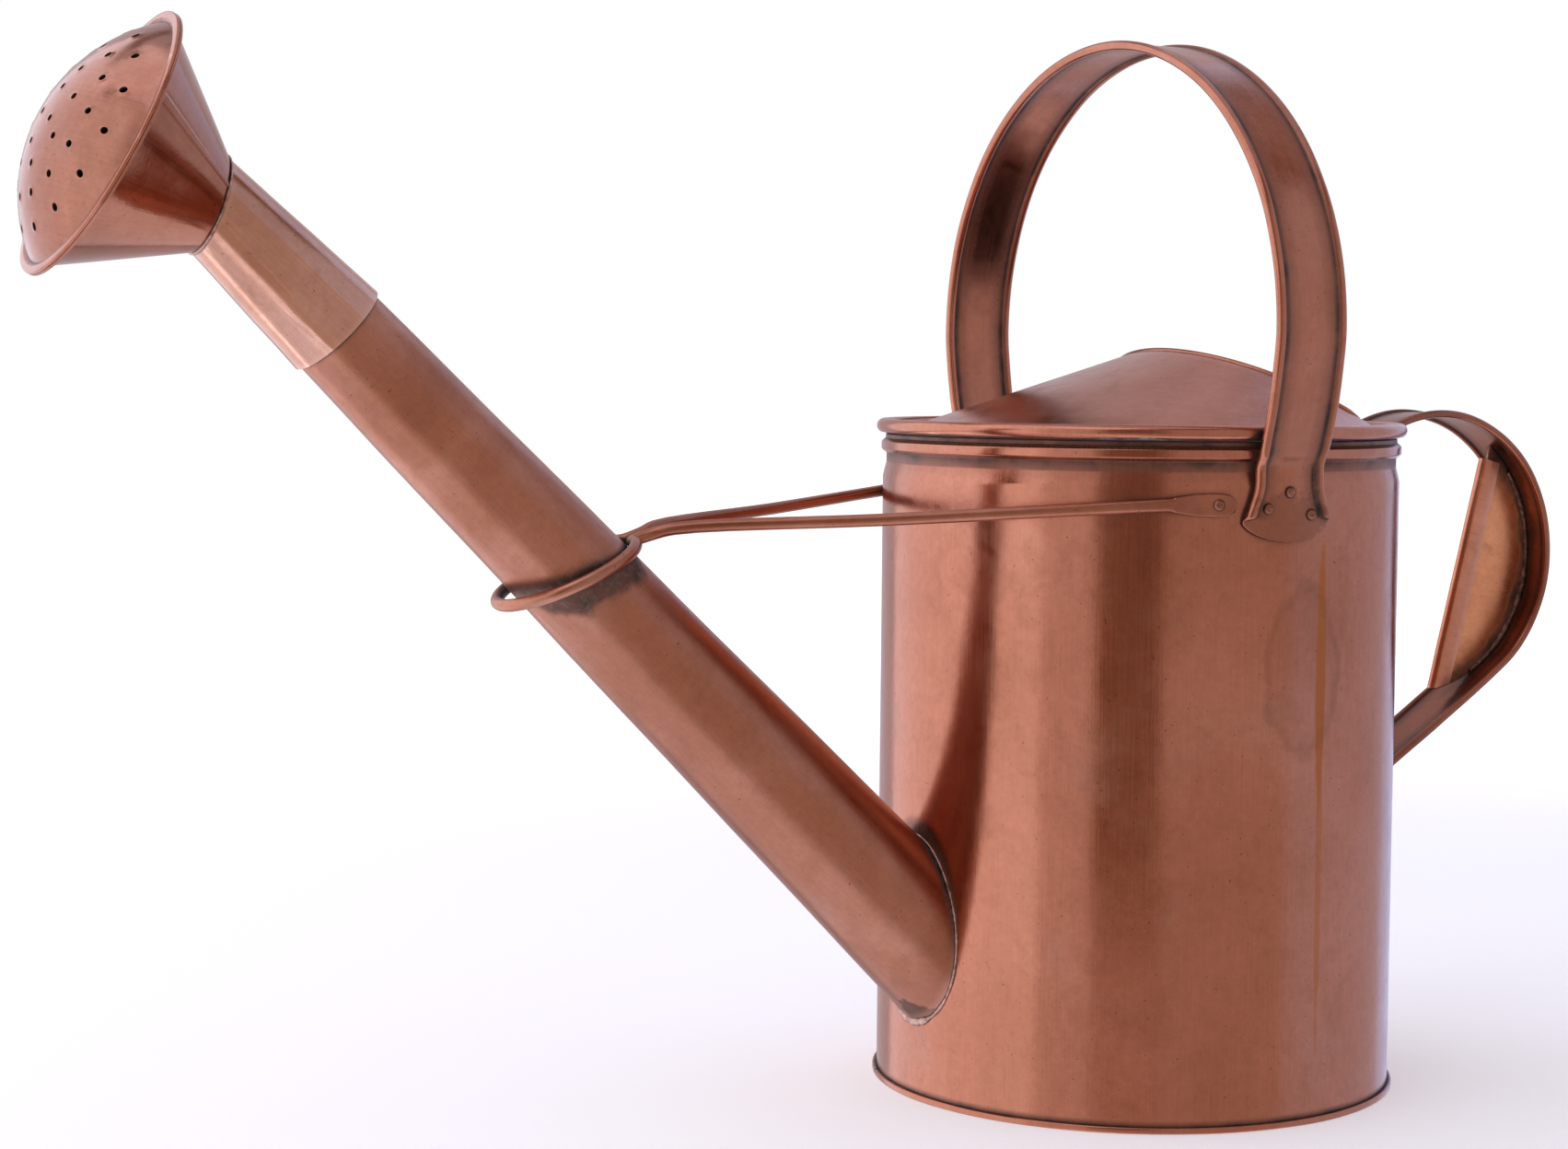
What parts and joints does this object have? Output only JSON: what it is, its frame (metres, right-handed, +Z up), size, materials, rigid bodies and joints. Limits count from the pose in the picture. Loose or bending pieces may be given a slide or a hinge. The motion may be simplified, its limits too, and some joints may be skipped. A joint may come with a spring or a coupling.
{
  "type": "watering can",
  "caption": "Copper garden watering can with rolled-rim body, fixed splash hood, braced long spout, lift-off perforated rose, arched carrying handle and D-shaped pouring handle.",
  "frame": {"origin": "on the body's axis, in the plane that the can stands on", "axes": "+Z up, the spout leaves towards -X, the pouring handle is on the +X side, and the carrying handle spans Y"},
  "size_m": [0.6371, 0.2286, 0.4028],
  "materials": {
    "body_copper": "brushed, lightly tarnished copper sheet",
    "dark_copper": "darkened copper",
    "bright_copper": "satin copper",
    "solder": "dull solder"
  },
  "bodies": {
    "can": {"body_shell": "body_copper", "bottom_disc": "dark_copper", "foot_bead": "body_copper", "rolled_rim": "body_copper", "hood": "body_copper", "hood_hem": "body_copper", "spout_lower": "body_copper", "spout_upper": "body_copper", "spout_solder_seam": "solder", "brace_rod": "dark_copper", "brace_rivet_near": "dark_copper", "brace_rivet_far": "dark_copper", "carry_handle": "body_copper", "handle_rivet_near_upper": "body_copper", "handle_rivet_near_left": "body_copper", "handle_rivet_near_right": "body_copper", "handle_rivet_far_upper": "body_copper", "handle_rivet_far_left": "body_copper", "handle_rivet_far_right": "body_copper", "pouring_handle": "dark_copper", "handle_web": "body_copper", "handle_grip": "bright_copper"},
    "rose": {"rose_sleeve": "bright_copper", "rose_cone": "dark_copper", "rose_neck_seam": "solder", "rose_brim": "body_copper", "rose_face": "bright_copper"}
  },
  "joints": [
    {"name": "rose_pull_off", "type": "slide", "parent": "can", "child": "rose", "axis": [-0.7197, 0, 0.6943], "range_m": [0, 0.06]}
  ]
}
